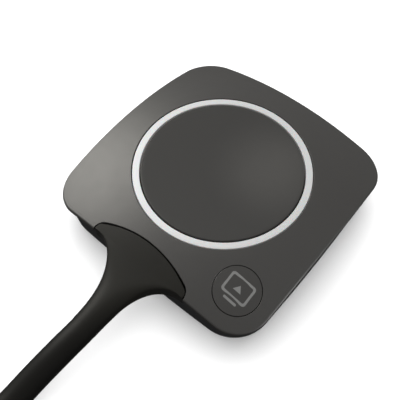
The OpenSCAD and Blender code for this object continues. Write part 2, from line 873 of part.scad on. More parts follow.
module plug_contacts() {
    top_z = cord_to.z - shell_h / 2 + sheet_t + tongue_h;
    contact_l = shell_l - tongue_short - contact_short;
    color([0.85, 0.68, 0.3])
        for (i = [0:contact_count - 1])
            block([contact_w, contact_l, contact_t],
                [cord_to.x + (i - (contact_count - 1) / 2) * contact_pitch, plug_y - contact_l / 2, top_z]);
}

module housing_screws() {
    color([0.6, 0.6, 0.62])
        at_corners(screw_corners, boss_c)
            difference() {
                union() {
                    rod(head_r, head_low_z, head_low_z + head_h);
                    rod(screw_r, head_low_z, screw_tip_z - cut_over);
                }
                for (a = [0, 90])
                    rotate([0, 0, a])
                        block([slot_l, slot_w, slot_depth], [0, 0, head_low_z]);
            }
}

module rubber_feet() {
    color([0.12, 0.12, 0.12])
        at_corners(all_corners, boss_c) {
            cylinder(r1 = foot_pad_r - foot_chamfer, r2 = foot_pad_r, h = foot_chamfer);
            rod(foot_pad_r, foot_chamfer, foot_show + foot_sink);
        }
}

top_cover();
bottom_cover();
light_ring();
ring_reflector();
push_disc();
disc_guide();
disc_bumper();
disc_switch_case();
disc_switch_stem();
corner_button();
corner_switch_case();
corner_switch_stem();
circuit_board();
ring_lights();
radio_shield();
processor_chip();
memory_chip();
board_parts();
antenna(-1);  // left_antenna
antenna(1);  // right_antenna
board_socket();
lead_connector();
inner_wires();
cable_boot();
cord();
plug_grip();
plug_shell();
plug_tongue();
plug_contacts();
housing_screws();
rubber_feet();
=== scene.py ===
import json
import math

import bmesh
import bpy
import numpy as np
from mathutils import Matrix, Vector
from mathutils.geometry import delaunay_2d_cdt

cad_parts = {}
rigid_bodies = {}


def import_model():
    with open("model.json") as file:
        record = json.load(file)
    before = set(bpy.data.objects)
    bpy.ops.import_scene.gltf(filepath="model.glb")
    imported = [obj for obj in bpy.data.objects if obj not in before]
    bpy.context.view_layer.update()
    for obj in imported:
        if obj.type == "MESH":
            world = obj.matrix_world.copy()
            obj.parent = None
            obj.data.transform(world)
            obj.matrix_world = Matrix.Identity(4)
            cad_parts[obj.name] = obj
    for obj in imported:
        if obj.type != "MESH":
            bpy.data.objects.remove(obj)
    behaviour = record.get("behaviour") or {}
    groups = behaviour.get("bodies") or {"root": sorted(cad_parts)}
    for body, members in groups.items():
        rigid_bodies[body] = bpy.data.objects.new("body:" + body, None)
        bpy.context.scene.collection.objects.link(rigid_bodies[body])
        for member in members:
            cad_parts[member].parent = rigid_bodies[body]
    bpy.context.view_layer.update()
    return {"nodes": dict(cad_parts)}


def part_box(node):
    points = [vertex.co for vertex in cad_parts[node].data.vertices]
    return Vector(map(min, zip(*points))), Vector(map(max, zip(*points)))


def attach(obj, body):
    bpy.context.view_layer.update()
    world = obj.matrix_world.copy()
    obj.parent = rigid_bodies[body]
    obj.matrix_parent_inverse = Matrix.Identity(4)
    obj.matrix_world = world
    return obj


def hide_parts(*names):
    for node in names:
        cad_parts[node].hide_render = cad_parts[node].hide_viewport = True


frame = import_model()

# Dressed model of a wireless presentation dongle. Lengths are millimetres until a mesh is made.
mm = 0.001
print("frame loaded:", len(frame["nodes"]), "nodes")


def addObject(name, data):
    obj = bpy.data.objects.new(name, data)
    bpy.context.scene.collection.objects.link(obj)
    return obj


# Camera, standing where the photograph was taken from

cameraSettings = {
    "place": (43.41, -59.10, 122.3),
    "forward": (-0.3358, 0.3948, -0.8552),
    "up": (-0.5473, 0.6557, 0.5201),
    "lens": 50.19,
    "sensor": 36.0,
    "nearest": 5.0,
    "farthest": 100000.0,
}


def makeCamera(s):
    data = bpy.data.cameras.new("studioCamera")
    data.lens = s["lens"]
    data.sensor_width = s["sensor"]
    data.clip_start = s["nearest"] * mm
    data.clip_end = s["farthest"] * mm
    back = -Vector(s["forward"]).normalized()
    right = Vector(s["up"]).cross(back).normalized()
    turn = Matrix((right, back.cross(right), back)).transposed().to_4x4()
    cam = addObject("studioCamera", data)
    cam.matrix_world = Matrix.Translation(Vector(s["place"]) * mm) @ turn
    bpy.context.scene.camera = cam


makeCamera(cameraSettings)
print("camera placed")


# Mesh helpers

def finishMesh(obj, sharpAngle=32.0, weld=0.002):
    bm = bmesh.new()
    bm.from_mesh(obj.data)
    bmesh.ops.remove_doubles(bm, verts=bm.verts, dist=weld * mm)
    bmesh.ops.dissolve_degenerate(bm, edges=bm.edges, dist=weld * mm / 4)  # slivers too
    bmesh.ops.recalc_face_normals(bm, faces=bm.faces)
    bm.to_mesh(obj.data)
    bm.free()
    obj.data.shade_smooth()
    obj.data.set_sharp_from_angle(angle=math.radians(sharpAngle))


def makePiece(name, parts, sharpAngle=32.0):  # parts is a list of (points, faces)
    points, faces = [], []
    for partPoints, partFaces in parts:
        start = len(points)
        points += [tuple(float(c) * mm for c in p) for p in partPoints]
        faces += [tuple(int(i) + start for i in f) for f in partFaces]
    mesh = bpy.data.meshes.new(name)
    mesh.from_pydata(points, [], faces)
    obj = addObject(name, mesh)
    finishMesh(obj, sharpAngle)
    return obj


def sideFaces(rings, looped=False):  # four-sided faces from each ring of points to the next
    count, faces = len(rings[0]), []
    for k in range(len(rings) if looped else len(rings) - 1):
        a, b = k * count, (k + 1) % len(rings) * count
        faces += [(a + i, a + (i + 1) % count, b + (i + 1) % count, b + i) for i in range(count)]
    return faces


def loft(rings, looped=False):
    count, last = len(rings[0]), len(rings) - 1
    faces = sideFaces(rings, looped)
    if not looped:
        faces.append(tuple(range(count - 1, -1, -1)))
        faces.append(tuple(last * count + i for i in range(count)))
    return [p for ring in rings for p in ring], faces


def spin(profile, steps, looped=True):  # profile is a list of (radius, height)
    turns = np.linspace(0, 2 * math.pi, steps, endpoint=False)
    return loft([[(r * math.cos(a), r * math.sin(a), z) for a in turns] for r, z in profile], looped)


def arcPoints(centre, radius, fromDegrees, toDegrees, steps):
    turns = np.radians(np.linspace(fromDegrees, toDegrees, steps))
    return [(centre[0] + radius * math.cos(a), centre[1] + radius * math.sin(a)) for a in turns]


def circleLoop(radius, steps):
    return np.array(arcPoints((0.0, 0.0), radius, 0, 360, steps + 1))[:-1]


def roundedBy(one, other, radius):  # signed distance where two edges meet in a rounded corner
    outside = np.hypot(np.maximum(one, 0), np.maximum(other, 0))
    return np.minimum(np.maximum(one, other), 0) + outside - radius


def boxBy(x, y, width, height, corner):  # signed distance to a rounded rectangle
    return roundedBy(abs(x) - width / 2 + corner, abs(y) - height / 2 + corner, corner)


def boxLoop(width, height, corner, steps=8):
    points = []
    for (sx, sy), start in (((1, 1), 0), ((-1, 1), 90), ((-1, -1), 180), ((1, -1), 270)):
        centre = (sx * (width / 2 - corner), sy * (height / 2 - corner))
        points += arcPoints(centre, corner, start, start + 90, steps)
    return np.array(points)


def bakedMesh(obj):
    graph = bpy.context.evaluated_depsgraph_get()
    return bpy.data.meshes.new_from_object(obj.evaluated_get(graph))


def cutAway(obj, cutters, weld=0.0005):  # exact boolean cut, baked into the mesh
    tool = makePiece("cutter", cutters)
    cut = obj.modifiers.new("cut", "BOOLEAN")
    cut.operation = "DIFFERENCE"
    cut.solver = "EXACT"
    cut.object = tool
    baked = bakedMesh(obj)
    obj.modifiers.clear()
    obj.data = baked
    baked.name = obj.name
    bpy.data.objects.remove(tool)
    finishMesh(obj, weld=weld)


# Thin plates over a plan: loops are the edges to follow, inside says where there is material

def staggeredGrid(flat, inside, spacing, clearance=0.55):  # clear of the loops by a share of the spacing
    low, high = flat.min(0), flat.max(0)
    xs = np.arange(low[0], high[0], spacing)
    ys = np.arange(low[1], high[1], spacing * math.sqrt(3) / 2)
    gx, gy = np.meshgrid(xs, ys)
    gx[1::2] += spacing / 2
    grid = np.column_stack([gx.ravel(), gy.ravel()])
    grid = grid[inside(grid[:, 0], grid[:, 1])]
    nearest = [np.min(np.hypot(flat[:, 0] - x, flat[:, 1] - y)) for x, y in grid]
    return grid[np.array(nearest) > spacing * clearance]


def planTriangles(loops, inside, spacing, same=1e-6):  # even triangles that follow the loops
    flat = np.vstack(loops)
    edges, start = [], 0
    for loop in loops:
        n = len(loop)
        edges += [(start + i, start + (i + 1) % n) for i in range(n)]
        start += n
    every = np.vstack([flat, staggeredGrid(flat, inside, spacing)])
    every = [Vector((float(x), float(y))) for x, y in every]
    spots, _, triangles, _, _, _ = delaunay_2d_cdt(every, edges, [], 0, same)
    spots = np.array([(p.x, p.y) for p in spots])
    triangles = np.array([t for t in triangles if len(t) == 3])
    middles = spots[triangles].mean(1)
    triangles = triangles[inside(middles[:, 0], middles[:, 1])]
    used, renumbered = np.unique(triangles, return_inverse=True)
    spots, triangles = spots[used], renumbered.reshape(triangles.shape)
    a, b, c = (spots[triangles[:, i]] for i in range(3))
    turn = (b[:, 0] - a[:, 0]) * (c[:, 1] - a[:, 1]) - (b[:, 1] - a[:, 1]) * (c[:, 0] - a[:, 0])
    triangles[turn < 0] = triangles[turn < 0][:, ::-1]
    return spots, triangles


def plate(loops, inside, topZ, underZ, spacing):
    spots, triangles = planTriangles(loops, inside, spacing)
    n = len(spots)
    layers = [np.column_stack([spots, z(spots[:, 0], spots[:, 1])]) for z in (topZ, underZ)]
    faces = [tuple(t) for t in triangles] + [tuple(t[::-1] + n) for t in triangles]
    sides = {(int(t[i]), int(t[(i + 1) % 3])) for t in triangles for i in range(3)}
    faces += [(i, i + n, j + n, j) for i, j in sides if (j, i) not in sides]
    return np.vstack(layers), faces


def rounding(distance, radius):  # how far a rounded edge falls, a given distance in from it
    rest = np.clip(radius - distance, 0, radius)
    return radius - np.sqrt(np.maximum(radius ** 2 - rest ** 2, 0))


def roundingSteps(radius, steps=5, past=1.35):  # distances in that draw a rounding, and one just past it
    return [radius * (1 - math.cos(a)) for a in np.linspace(0, math.pi / 2, steps)] + [radius * past]


# Shape of the housing, shared by several pieces

housing = {
    "halfWidth": 29.65,
    "height": 16.3,
    "sideRadius": 480.0,  # the sides bow out a little
    "rimCornerIn": 8.75,  # from the side to the middle of the corner's arc
    "lowerCornerIn": 10.8,
    "crownDrop": 5.74,  # from the ring's inner edge down to the corners
    "coverThickness": 1.6,
    "ringMargin": 8.8,
    "ringWidth": 1.58,
    "ringFit": 0.2,
    "keyPlace": 20.79,
    "keyRadius": 5.2,
    "keyGap": 0.14,
    "keyShare": 0.952,  # the button's width up the slope of the skin, as a share of that across it
    "seamGap": 0.28,
    "padRadius": 3.3,  # of the rubber feet
}
ringOuter = housing["halfWidth"] - housing["ringMargin"]
ringInner = ringOuter - housing["ringWidth"]
rimCorner = housing["halfWidth"] - housing["rimCornerIn"]
lowerCorner = housing["halfWidth"] - housing["lowerCornerIn"]
sideCentre = housing["halfWidth"] - housing["sideRadius"]
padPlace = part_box("rubber_feet")[1].x / mm - housing["padRadius"]  # both ways from the middle


def cornerRadius(corner, inset=0.0):
    return housing["sideRadius"] - inset - math.hypot(corner - sideCentre, corner)


cornerReach = math.hypot(rimCorner, rimCorner) + cornerRadius(rimCorner)
crownDepth = (cornerReach ** 2 - ringInner ** 2 + housing["crownDrop"] ** 2) / (2 * housing["crownDrop"])
crownRadius = math.hypot(crownDepth, ringInner)
crownCentre = housing["height"] - crownDepth


def skinZ(x, y, depth=0.0):
    return crownCentre + np.sqrt((crownRadius - depth) ** 2 - np.square(x) - np.square(y))


def outline(corner, inset, sideSteps=20, cornerSteps=22):
    reach = math.atan2(corner, corner - sideCentre)
    side, r = housing["sideRadius"] - inset, cornerRadius(corner, inset)
    quarter = [(sideCentre + side * math.cos(a), side * math.sin(a))
               for a in np.linspace(-reach, reach, sideSteps, endpoint=False)]
    quarter += [(corner + r * math.cos(a), corner + r * math.sin(a))
                for a in np.linspace(reach, math.pi / 2 - reach, cornerSteps, endpoint=False)]
    turns = ((1, 0), (0, 1), (-1, 0), (0, -1))
    return np.array([(x * c - y * s, x * s + y * c) for c, s in turns for x, y in quarter])


def insideBy(x, y, corner):  # distance in from the outline, negative outside it
    far, near = np.maximum(abs(x), abs(y)), np.minimum(abs(x), abs(y))
    reach = math.atan2(corner, corner - sideCentre)
    fromSide = housing["sideRadius"] - np.hypot(far - sideCentre, near)
    fromCorner = cornerRadius(corner) - np.hypot(far - corner, near - corner)
    return np.where(np.arctan2(near, far - sideCentre) <= reach, fromSide, fromCorner)


def keyBy(x, y):  # distance from the button's middle, measured along the slope of the skin
    along = (x - y - 2 * housing["keyPlace"]) / math.sqrt(2)
    across = (x + y) / math.sqrt(2)
    return np.hypot(along / housing["keyShare"], across)


def keyLoop(radius, steps=96):
    points = circleLoop(radius, steps)
    along, across = points[:, 0] * housing["keyShare"], points[:, 1]
    return np.column_stack([housing["keyPlace"] + (along + across) / math.sqrt(2),
                            -housing["keyPlace"] + (across - along) / math.sqrt(2)])


# Plan of the boot's inlay: an arc towards the ring, with rounded ends

inlay = {"halfWidth": 12.9, "arcRadius": 30.3, "reach": 4.78, "endRounding": 1.1}
inlayCentreY = -housing["halfWidth"] + inlay["reach"] - inlay["arcRadius"]
inlaySearch = {"outBy": 1.5, "fromTurn": -0.35, "toTurn": 1.35, "steps": 160, "near": 0.1, "far": 40.0,
               "halvings": 40}


def inlayBy(x, y):  # signed distance to the plan, negative inside it
    r = inlay["endRounding"]
    fromArc = np.hypot(x, y - inlayCentreY) - inlay["arcRadius"]
    fromEnds = abs(x) - inlay["halfWidth"]
    return roundedBy(fromArc + r, fromEnds + r, r)


def inlayLoop(offset):  # points a given distance outside the plan, found along rays from just off the rim
    s = inlaySearch
    startY = -housing["halfWidth"] - s["outBy"]
    points = []
    for a in np.linspace(s["fromTurn"] * math.pi, s["toTurn"] * math.pi, s["steps"]):
        near, far = s["near"], s["far"]
        for _ in range(s["halvings"]):
            r = (near + far) / 2
            out = inlayBy(r * math.cos(a), startY + r * math.sin(a)) > offset
            near, far = (near, r) if out else (r, far)
        points.append((r * math.cos(a), startY + r * math.sin(a)))
    return np.array(points)


# Materials: each has a fine grain in its bump, a drift in its colour and an uneven roughness

plainFinish = {  # what a finish has where it doesn't say otherwise
    "stretch": (1, 1, 1), "driftSize": 6.0, "driftTo": 1.12, "patchSize": 2.5, "unevenness": 0.04,
    "grain": 0.25, "grainDepth": 0.01, "grainSize": 0.18, "metallic": 0.0, "specular": 0.5, "coat": 0.0,
    "coatRoughness": 0.2, "sheen": 0.0, "glowStrength": 0.0, "depth": 0.0, "depthScale": 0.5,
}
shaderSockets = {
    "metallic": "Metallic", "specular": "Specular IOR Level", "coat": "Coat Weight",
    "coatRoughness": "Coat Roughness", "sheen": "Sheen Weight", "glowStrength": "Emission Strength",
    "depth": "Subsurface Weight",
}


def addNode(tree, kind, **settings):
    node = tree.nodes.new(kind)
    for key, value in settings.items():
        setattr(node, key, value)
    return node


def addNoise(tree, spread, size, detail, roughness=0.55):
    node = addNode(tree, "ShaderNodeTexNoise")
    node.inputs["Scale"].default_value = 1 / (size * mm)
    node.inputs["Detail"].default_value = detail
    node.inputs["Roughness"].default_value = roughness
    tree.links.new(spread.outputs["Vector"], node.inputs["Vector"])
    return node.outputs["Fac"]


def addPaintedLight(tree, place, tint, paintedLight):  # painted light: another colour that comes up with the distance from a place, standing in for a highlight or a shade
    away = addNode(tree, "ShaderNodeVectorMath", operation="DISTANCE")
    away.inputs[1].default_value = [c * mm for c in paintedLight["place"]]
    tree.links.new(place.outputs["Object"], away.inputs[0])
    share = addNode(tree, "ShaderNodeMapRange", interpolation_type="SMOOTHSTEP")
    share.inputs["From Min"].default_value = paintedLight["near"] * mm
    share.inputs["From Max"].default_value = paintedLight["far"] * mm
    tree.links.new(away.outputs["Value"], share.inputs["Value"])
    mixed = addNode(tree, "ShaderNodeMix", data_type="RGBA")
    mixed.inputs["B"].default_value = (*paintedLight["colour"], 1)
    tree.links.new(tint.outputs["Result"], mixed.inputs["A"])
    tree.links.new(share.outputs["Result"], mixed.inputs["Factor"])
    return mixed


def addFarGlow(tree, place, shader, reach):  # keeps the floor white beyond the reach of the lamps
    away = addNode(tree, "ShaderNodeVectorMath", operation="LENGTH")
    rise = addNode(tree, "ShaderNodeMapRange")
    rise.inputs["From Min"].default_value = reach[0] * mm
    rise.inputs["From Max"].default_value = reach[1] * mm
    tree.links.new(place.outputs["Object"], away.inputs[0])
    tree.links.new(away.outputs["Value"], rise.inputs["Value"])
    tree.links.new(rise.outputs["Result"], shader.inputs["Emission Strength"])


def surfaceMaterial(name, changes):
    s = {**plainFinish, **changes}
    material = bpy.data.materials.new(name)
    material.use_nodes = True
    tree = material.node_tree
    tree.nodes.clear()
    out = addNode(tree, "ShaderNodeOutputMaterial")
    shader = addNode(tree, "ShaderNodeBsdfPrincipled")
    tree.links.new(shader.outputs["BSDF"], out.inputs["Surface"])
    for key, socket in shaderSockets.items():
        shader.inputs[socket].default_value = s[key]
    shader.inputs["Emission Color"].default_value = (1, 1, 1, 1)
    shader.inputs["Subsurface Scale"].default_value = s["depthScale"] * mm
    place = addNode(tree, "ShaderNodeTexCoord")
    spread = addNode(tree, "ShaderNodeMapping")
    spread.inputs["Scale"].default_value = s["stretch"]
    tree.links.new(place.outputs["Object"], spread.inputs["Vector"])
    tint = addNode(tree, "ShaderNodeMix", data_type="RGBA")
    tint.inputs["A"].default_value = (*s["colour"], 1)
    tint.inputs["B"].default_value = (*[c * s["driftTo"] for c in s["colour"]], 1)
    tree.links.new(addNoise(tree, spread, s["driftSize"], detail=3), tint.inputs["Factor"])
    # painted highlight or painted shade, for the finishes that carry one
    if "paintedLight" in s:
        tint = addPaintedLight(tree, place, tint, s["paintedLight"])
    tree.links.new(tint.outputs["Result"], shader.inputs["Base Color"])
    uneven = addNode(tree, "ShaderNodeMapRange")
    uneven.inputs["To Min"].default_value = s["roughness"] - s["unevenness"]
    uneven.inputs["To Max"].default_value = s["roughness"] + s["unevenness"]
    tree.links.new(addNoise(tree, spread, s["patchSize"], detail=4), uneven.inputs["Value"])
    tree.links.new(uneven.outputs["Result"], shader.inputs["Roughness"])
    bump = addNode(tree, "ShaderNodeBump")
    bump.inputs["Strength"].default_value = s["grain"]
    bump.inputs["Distance"].default_value = s["grainDepth"] * mm
    tree.links.new(addNoise(tree, spread, s["grainSize"], detail=2), bump.inputs["Height"])
    tree.links.new(bump.outputs["Normal"], shader.inputs["Normal"])
    if "farGlow" in s:
        addFarGlow(tree, place, shader, s["farGlow"])
    return material


finishes = {
    "coverPlastic": {"colour": (0.033, 0.0312, 0.0286), "roughness": 0.47, "specular": 0.62,
                     "grain": 0.3, "grainSize": 0.14, "driftSize": 9.0, "driftTo": 1.08},
    "discPlastic": {"colour": (0.0485, 0.0466, 0.0427), "roughness": 0.52, "specular": 0.36,
                    "grain": 0.3, "grainSize": 0.14, "driftSize": 12.0, "driftTo": 1.25,
                    # painted highlight: lighter round a spot on the disc's right half and darker away from
                    # it, standing in for the sheen lamp's reflection
                    "paintedLight": {"place": (9.0, 7.5, 15.0), "near": 0.0, "far": 17.0,
                             "colour": (0.0278, 0.0268, 0.0247)}},
    "lowerPlastic": {"colour": (0.036, 0.036, 0.038), "roughness": 0.5, "grain": 0.35, "grainSize": 0.2},
    "ringPlastic": {"colour": (0.765, 0.772, 0.768), "roughness": 0.4, "grain": 0.08, "unevenness": 0.05,
                    "driftSize": 7.0, "driftTo": 0.97, "depth": 0.15, "depthScale": 0.8, "specular": 0.3,
                    # the glow is painted light: it lifts the white ring's brightness, though nothing inside
                    # it is lit
                    "glowStrength": 0.06,
                    # painted highlight: the ring is lighter on its left, towards the sheen lamp, and darker
                    # away from it
                    "paintedLight": {"place": (-15.3, -12.8, 15.8), "near": 0.0, "far": 40.0,
                             "colour": (0.54, 0.545, 0.54)}},
    "cordRubber": {"colour": (0.0145, 0.0137, 0.0111), "roughness": 0.53, "specular": 0.15, "sheen": 0.03,
                   "grain": 0.35, "grainSize": 0.22, "driftSize": 5.0, "driftTo": 1.2,
                   # painted shade: the rubber darkens away from the top of the boot's inlay, down the
                   # flare's flanks and along the cord
                   "paintedLight": {"place": (0.0, -27.0, 15.0), "near": 7.0, "far": 25.0,
                            "colour": (0.0068, 0.0064, 0.0053)}},
    "iconInk": {"colour": (0.19, 0.19, 0.184), "roughness": 0.5, "grain": 0.3, "grainSize": 0.1,
                "driftSize": 1.5},
    "gripPlastic": {"colour": (0.018, 0.018, 0.018), "roughness": 0.5, "grain": 0.5, "grainSize": 0.25},
    "plugSteel": {"colour": (0.62, 0.62, 0.63), "roughness": 0.24, "metallic": 1.0, "grain": 0.2,
                  "stretch": (1, 8, 1), "grainSize": 0.4, "unevenness": 0.07, "driftTo": 0.88},
    "whitePlastic": {"colour": (0.8, 0.79, 0.76), "roughness": 0.35, "grain": 0.15, "driftTo": 0.95},
    "darkPlastic": {"colour": (0.03, 0.03, 0.032), "roughness": 0.45, "grain": 0.3},
    "foamRubber": {"colour": (0.09, 0.09, 0.095), "roughness": 0.9, "grain": 1.0, "grainDepth": 0.05,
                   "grainSize": 0.3, "driftTo": 1.3},
    "stemPlastic": {"colour": (0.5, 0.05, 0.03), "roughness": 0.35},
    "boardLaminate": {"colour": (0.01, 0.07, 0.028), "roughness": 0.3, "coat": 0.4, "driftSize": 2.0,
                      "driftTo": 1.5, "grain": 0.3, "grainSize": 0.5},
    "lampBody": {"colour": (0.88, 0.86, 0.68), "roughness": 0.3, "coat": 0.5},
    "chipResin": {"colour": (0.012, 0.012, 0.013), "roughness": 0.6, "grain": 0.6, "grainSize": 0.08},
    "ceramic": {"colour": (0.28, 0.17, 0.09), "roughness": 0.35, "driftSize": 1.0, "driftTo": 1.4},
    "contactMetal": {"colour": (0.75, 0.5, 0.18), "roughness": 0.22, "metallic": 1.0, "driftTo": 0.85},
    "wireCover": {"colour": (0.45, 0.03, 0.02), "roughness": 0.35},
    "screwSteel": {"colour": (0.5, 0.5, 0.51), "roughness": 0.33, "metallic": 1.0, "grain": 0.3,
                   "driftTo": 0.85},
    "footRubber": {"colour": (0.014, 0.014, 0.014), "roughness": 0.8, "grain": 0.8, "grainDepth": 0.03},
    "tableTop": {"colour": (0.9, 0.9, 0.9), "roughness": 0.85, "grain": 0.0, "driftSize": 200.0,
                 "driftTo": 1.0, "specular": 0.0, "farGlow": (160.0, 800.0)},
}
materials = {name: surfaceMaterial(name, changes) for name, changes in finishes.items()}
print("materials made:", len(materials))


def dress(obj, finish, slotName, body, *nodes):
    obj.data.materials.clear()
    obj.data.materials.append(materials[finish])
    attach(obj, body)
    if nodes:
        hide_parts(*nodes)


# Geometry node trees: a source shape in, realized and painted copies out

def nodeTree(name, numbers, finish):  # numbers is a list of (name, kind of socket)
    tree = bpy.data.node_groups.new(name, "GeometryNodeTree")
    tree.interface.new_socket("Geometry", in_out="INPUT", socket_type="NodeSocketGeometry")
    for label, kind in numbers:
        tree.interface.new_socket(label, in_out="INPUT", socket_type=kind)
    tree.interface.new_socket("Geometry", in_out="OUTPUT", socket_type="NodeSocketGeometry")
    start = addNode(tree, "NodeGroupInput")
    realize = addNode(tree, "GeometryNodeRealizeInstances")
    paint = addNode(tree, "GeometryNodeSetMaterial")
    paint.inputs["Material"].default_value = materials[finish]
    end = addNode(tree, "NodeGroupOutput")
    tree.links.new(realize.outputs[0], paint.inputs["Geometry"])
    tree.links.new(paint.outputs[0], end.inputs[0])
    return tree, start, realize


def addCopies(tree, start, realize, points):  # the source shape on each point
    copies = addNode(tree, "GeometryNodeInstanceOnPoints")
    tree.links.new(points.outputs["Mesh"], copies.inputs["Points"])
    tree.links.new(start.outputs["Geometry"], copies.inputs["Instance"])
    tree.links.new(copies.outputs["Instances"], realize.inputs["Geometry"])
    return copies


def runTree(obj, tree, values):
    grow = obj.modifiers.new(tree.name, "NODES")
    grow.node_group = tree
    for item in tree.interface.items_tree:
        if item.in_out == "INPUT" and item.name in values:
            grow[item.identifier] = values[item.name]
    baked = bakedMesh(obj)
    name = obj.name
    bpy.data.objects.remove(obj)
    baked.name = name
    return addObject(name, baked)


# Cord, swept along its route

cordSettings = {
    "diameter": 6.0,
    "route": [(0, -46, 8.2), (0, -48, 8.2), (-0.2, -51, 7.9), (-0.5, -54, 7.2), (-0.9, -57, 6.2),
              (-1.3, -60, 5.1), (-1.6, -63, 4.1), (-1.8, -66, 3.4), (-2, -70, 3), (-2, -75, 3),
              (-2, -78, 3.2), (-2, -81, 3.6), (-2, -84, 3.9), (-2, -87, 4), (-2, -88, 4)],
    "stepsBetween": 8,
    "sides": 64,
    "sharpAngle": 50.0,
}


def smoothRoute(points, stepsBetween):  # Catmull-Rom curve through the route's points
    p = np.array(points, float)
    p = np.vstack([2 * p[0] - p[1], p, 2 * p[-1] - p[-2]])
    fine = []
    for i in range(1, len(p) - 2):
        for t in np.linspace(0, 1, stepsBetween, endpoint=False):
            fine.append(0.5 * (2 * p[i] + (p[i + 1] - p[i - 1]) * t
                               + (2 * p[i - 1] - 5 * p[i] + 4 * p[i + 1] - p[i + 2]) * t ** 2
                               + (3 * p[i] - p[i - 1] - 3 * p[i + 1] + p[i + 2]) * t ** 3))
    return np.vstack([fine, p[-2]])


def cordTree():
    numbers = [("Radius", "NodeSocketFloat"), ("Sides", "NodeSocketInt")]
    tree, start, realize = nodeTree("cordSweep", numbers, "cordRubber")
    ring = addNode(tree, "GeometryNodeCurvePrimitiveCircle")
    sweep = addNode(tree, "GeometryNodeCurveToMesh")
    sweep.inputs["Fill Caps"].default_value = True
    tree.links.new(start.outputs["Radius"], ring.inputs["Radius"])
    tree.links.new(start.outputs["Sides"], ring.inputs["Resolution"])
    tree.links.new(start.outputs["Geometry"], sweep.inputs["Curve"])
    tree.links.new(ring.outputs["Curve"], sweep.inputs["Profile Curve"])
    tree.links.new(sweep.outputs["Mesh"], realize.inputs["Geometry"])
    return tree


def makeCord(s):
    route = smoothRoute(s["route"], s["stepsBetween"]) * mm
    curve = bpy.data.curves.new("cordJacket", "CURVE")
    curve.dimensions = "3D"
    spline = curve.splines.new("POLY")
    spline.points.add(len(route) - 1)
    for point, at in zip(spline.points, route):
        point.co = (*at, 1)
    values = {"Radius": s["diameter"] / 2 * mm, "Sides": s["sides"]}
    cord = runTree(addObject("cordJacket", curve), cordTree(), values)
    finishMesh(cord, s["sharpAngle"])
    length = float(np.linalg.norm(np.diff(route, axis=0), axis=1).sum())
    dress(cord, "cordRubber", "cord_rubber", "housing", "cord")
    return cord, route, length


cordJacket, cordRoute, cordLength = makeCord(cordSettings)
print("cord swept:", round(cordLength, 4), "m")


# Top cover: a crowned plate with a rounded rim, holes for the ring and the button, and the boot's notch

topCoverSettings = {"rimRadius": 0.4, "rimSteps": 9, "edgeRadius": 0.1, "spacing": 0.75, "holeSteps": 240,
                    "lipThickness": 0.75, "lipInside": 0.4, "lipStep": 0.05}


def makeTopCover(s):
    ringHole = ringOuter + housing["ringFit"]
    keyHole = housing["keyRadius"] + housing["keyGap"]
    edge = roundingSteps(s["edgeRadius"])
    loops = [outline(rimCorner, d) for d in roundingSteps(s["rimRadius"], s["rimSteps"])]
    loops += [outline(lowerCorner, s["lipInside"] + d) for d in (0.0, s["lipStep"])]
    loops += [circleLoop(ringHole + d, s["holeSteps"]) for d in edge]
    loops += [keyLoop(keyHole + d) for d in edge]
    loops += [inlayLoop(housing["seamGap"] + d) for d in edge]

    def edgeDistances(x, y):
        return np.hypot(x, y) - ringHole, keyBy(x, y) - keyHole, inlayBy(x, y) - housing["seamGap"]

    def inside(x, y):
        return (insideBy(x, y, rimCorner) > 0) & np.all([d > 0 for d in edgeDistances(x, y)], axis=0)

    def topZ(x, y):
        fall = rounding(insideBy(x, y, rimCorner), s["rimRadius"])
        for d in edgeDistances(x, y):
            fall = fall + rounding(d, s["edgeRadius"])
        return skinZ(x, y) - fall

    def underZ(x, y):  # a thin lip outside the bottom cover's wall, the full thickness inside it
        share = np.clip((insideBy(x, y, lowerCorner) - s["lipInside"]) / s["lipStep"], 0, 1)
        return skinZ(x, y, s["lipThickness"] + (housing["coverThickness"] - s["lipThickness"]) * share)

    cover = makePiece("topCoverShell", [plate(loops, inside, topZ, underZ, s["spacing"])])
    dress(cover, "coverPlastic", "cover_plastic", "housing", "top_cover")


makeTopCover(topCoverSettings)
print("top cover made")


# Bottom cover: a bowl set in under the rim, with the boot's slot and the recesses of the feet

bottomCoverSettings = {
    "edgeIn": 0.56, "taper": 0.48, "wall": 1.6, "floor": 1.5, "clearOfTable": 0.5, "partingGap": 0.25,
    "footRounding": 2.9, "innerRounding": 2.0, "edgeRounding": 0.2, "arcSteps": 13,
    "slot": [(-6.6, -45), (6.6, -45), (6.6, -20), (-6.6, -20)], "slotLow": 4.9, "slotHigh": 20,
    "recessFit": 0.1, "recessLow": -1, "recessHigh": 1.3, "recessSteps": 64,
}


def bowlRings(s):  # up the outside and down the inside
    foot = s["edgeIn"] + s["taper"]
    depth = housing["coverThickness"] + s["partingGap"]
    floorZ = s["clearOfTable"] + s["floor"]
    turns = np.radians(np.linspace(0, 90, s["arcSteps"]))

    def level(inset, z):
        return [(x, y, z) for x, y in outline(lowerCorner, inset)]

    def laid(inset, under):  # follows the cover's crown
        return [(x, y, float(skinZ(x, y, under))) for x, y in outline(lowerCorner, inset)]

    def arc(radius, turns):  # how far a rounded edge has still to go each way
        return [(radius * (1 - math.sin(a)), radius * (1 - math.cos(a))) for a in turns]

    rings = [level(foot + inset, s["clearOfTable"] + rise) for inset, rise in arc(s["footRounding"], turns)]
    rings += [laid(s["edgeIn"] + inset, depth + fall) for fall, inset in arc(s["edgeRounding"], turns[::3])]
    rings += [laid(s["edgeIn"] + s["wall"], depth)]
    rings += [level(foot + s["wall"] + inset, floorZ + rise)
              for inset, rise in arc(s["innerRounding"], turns[::-2])]
    return rings


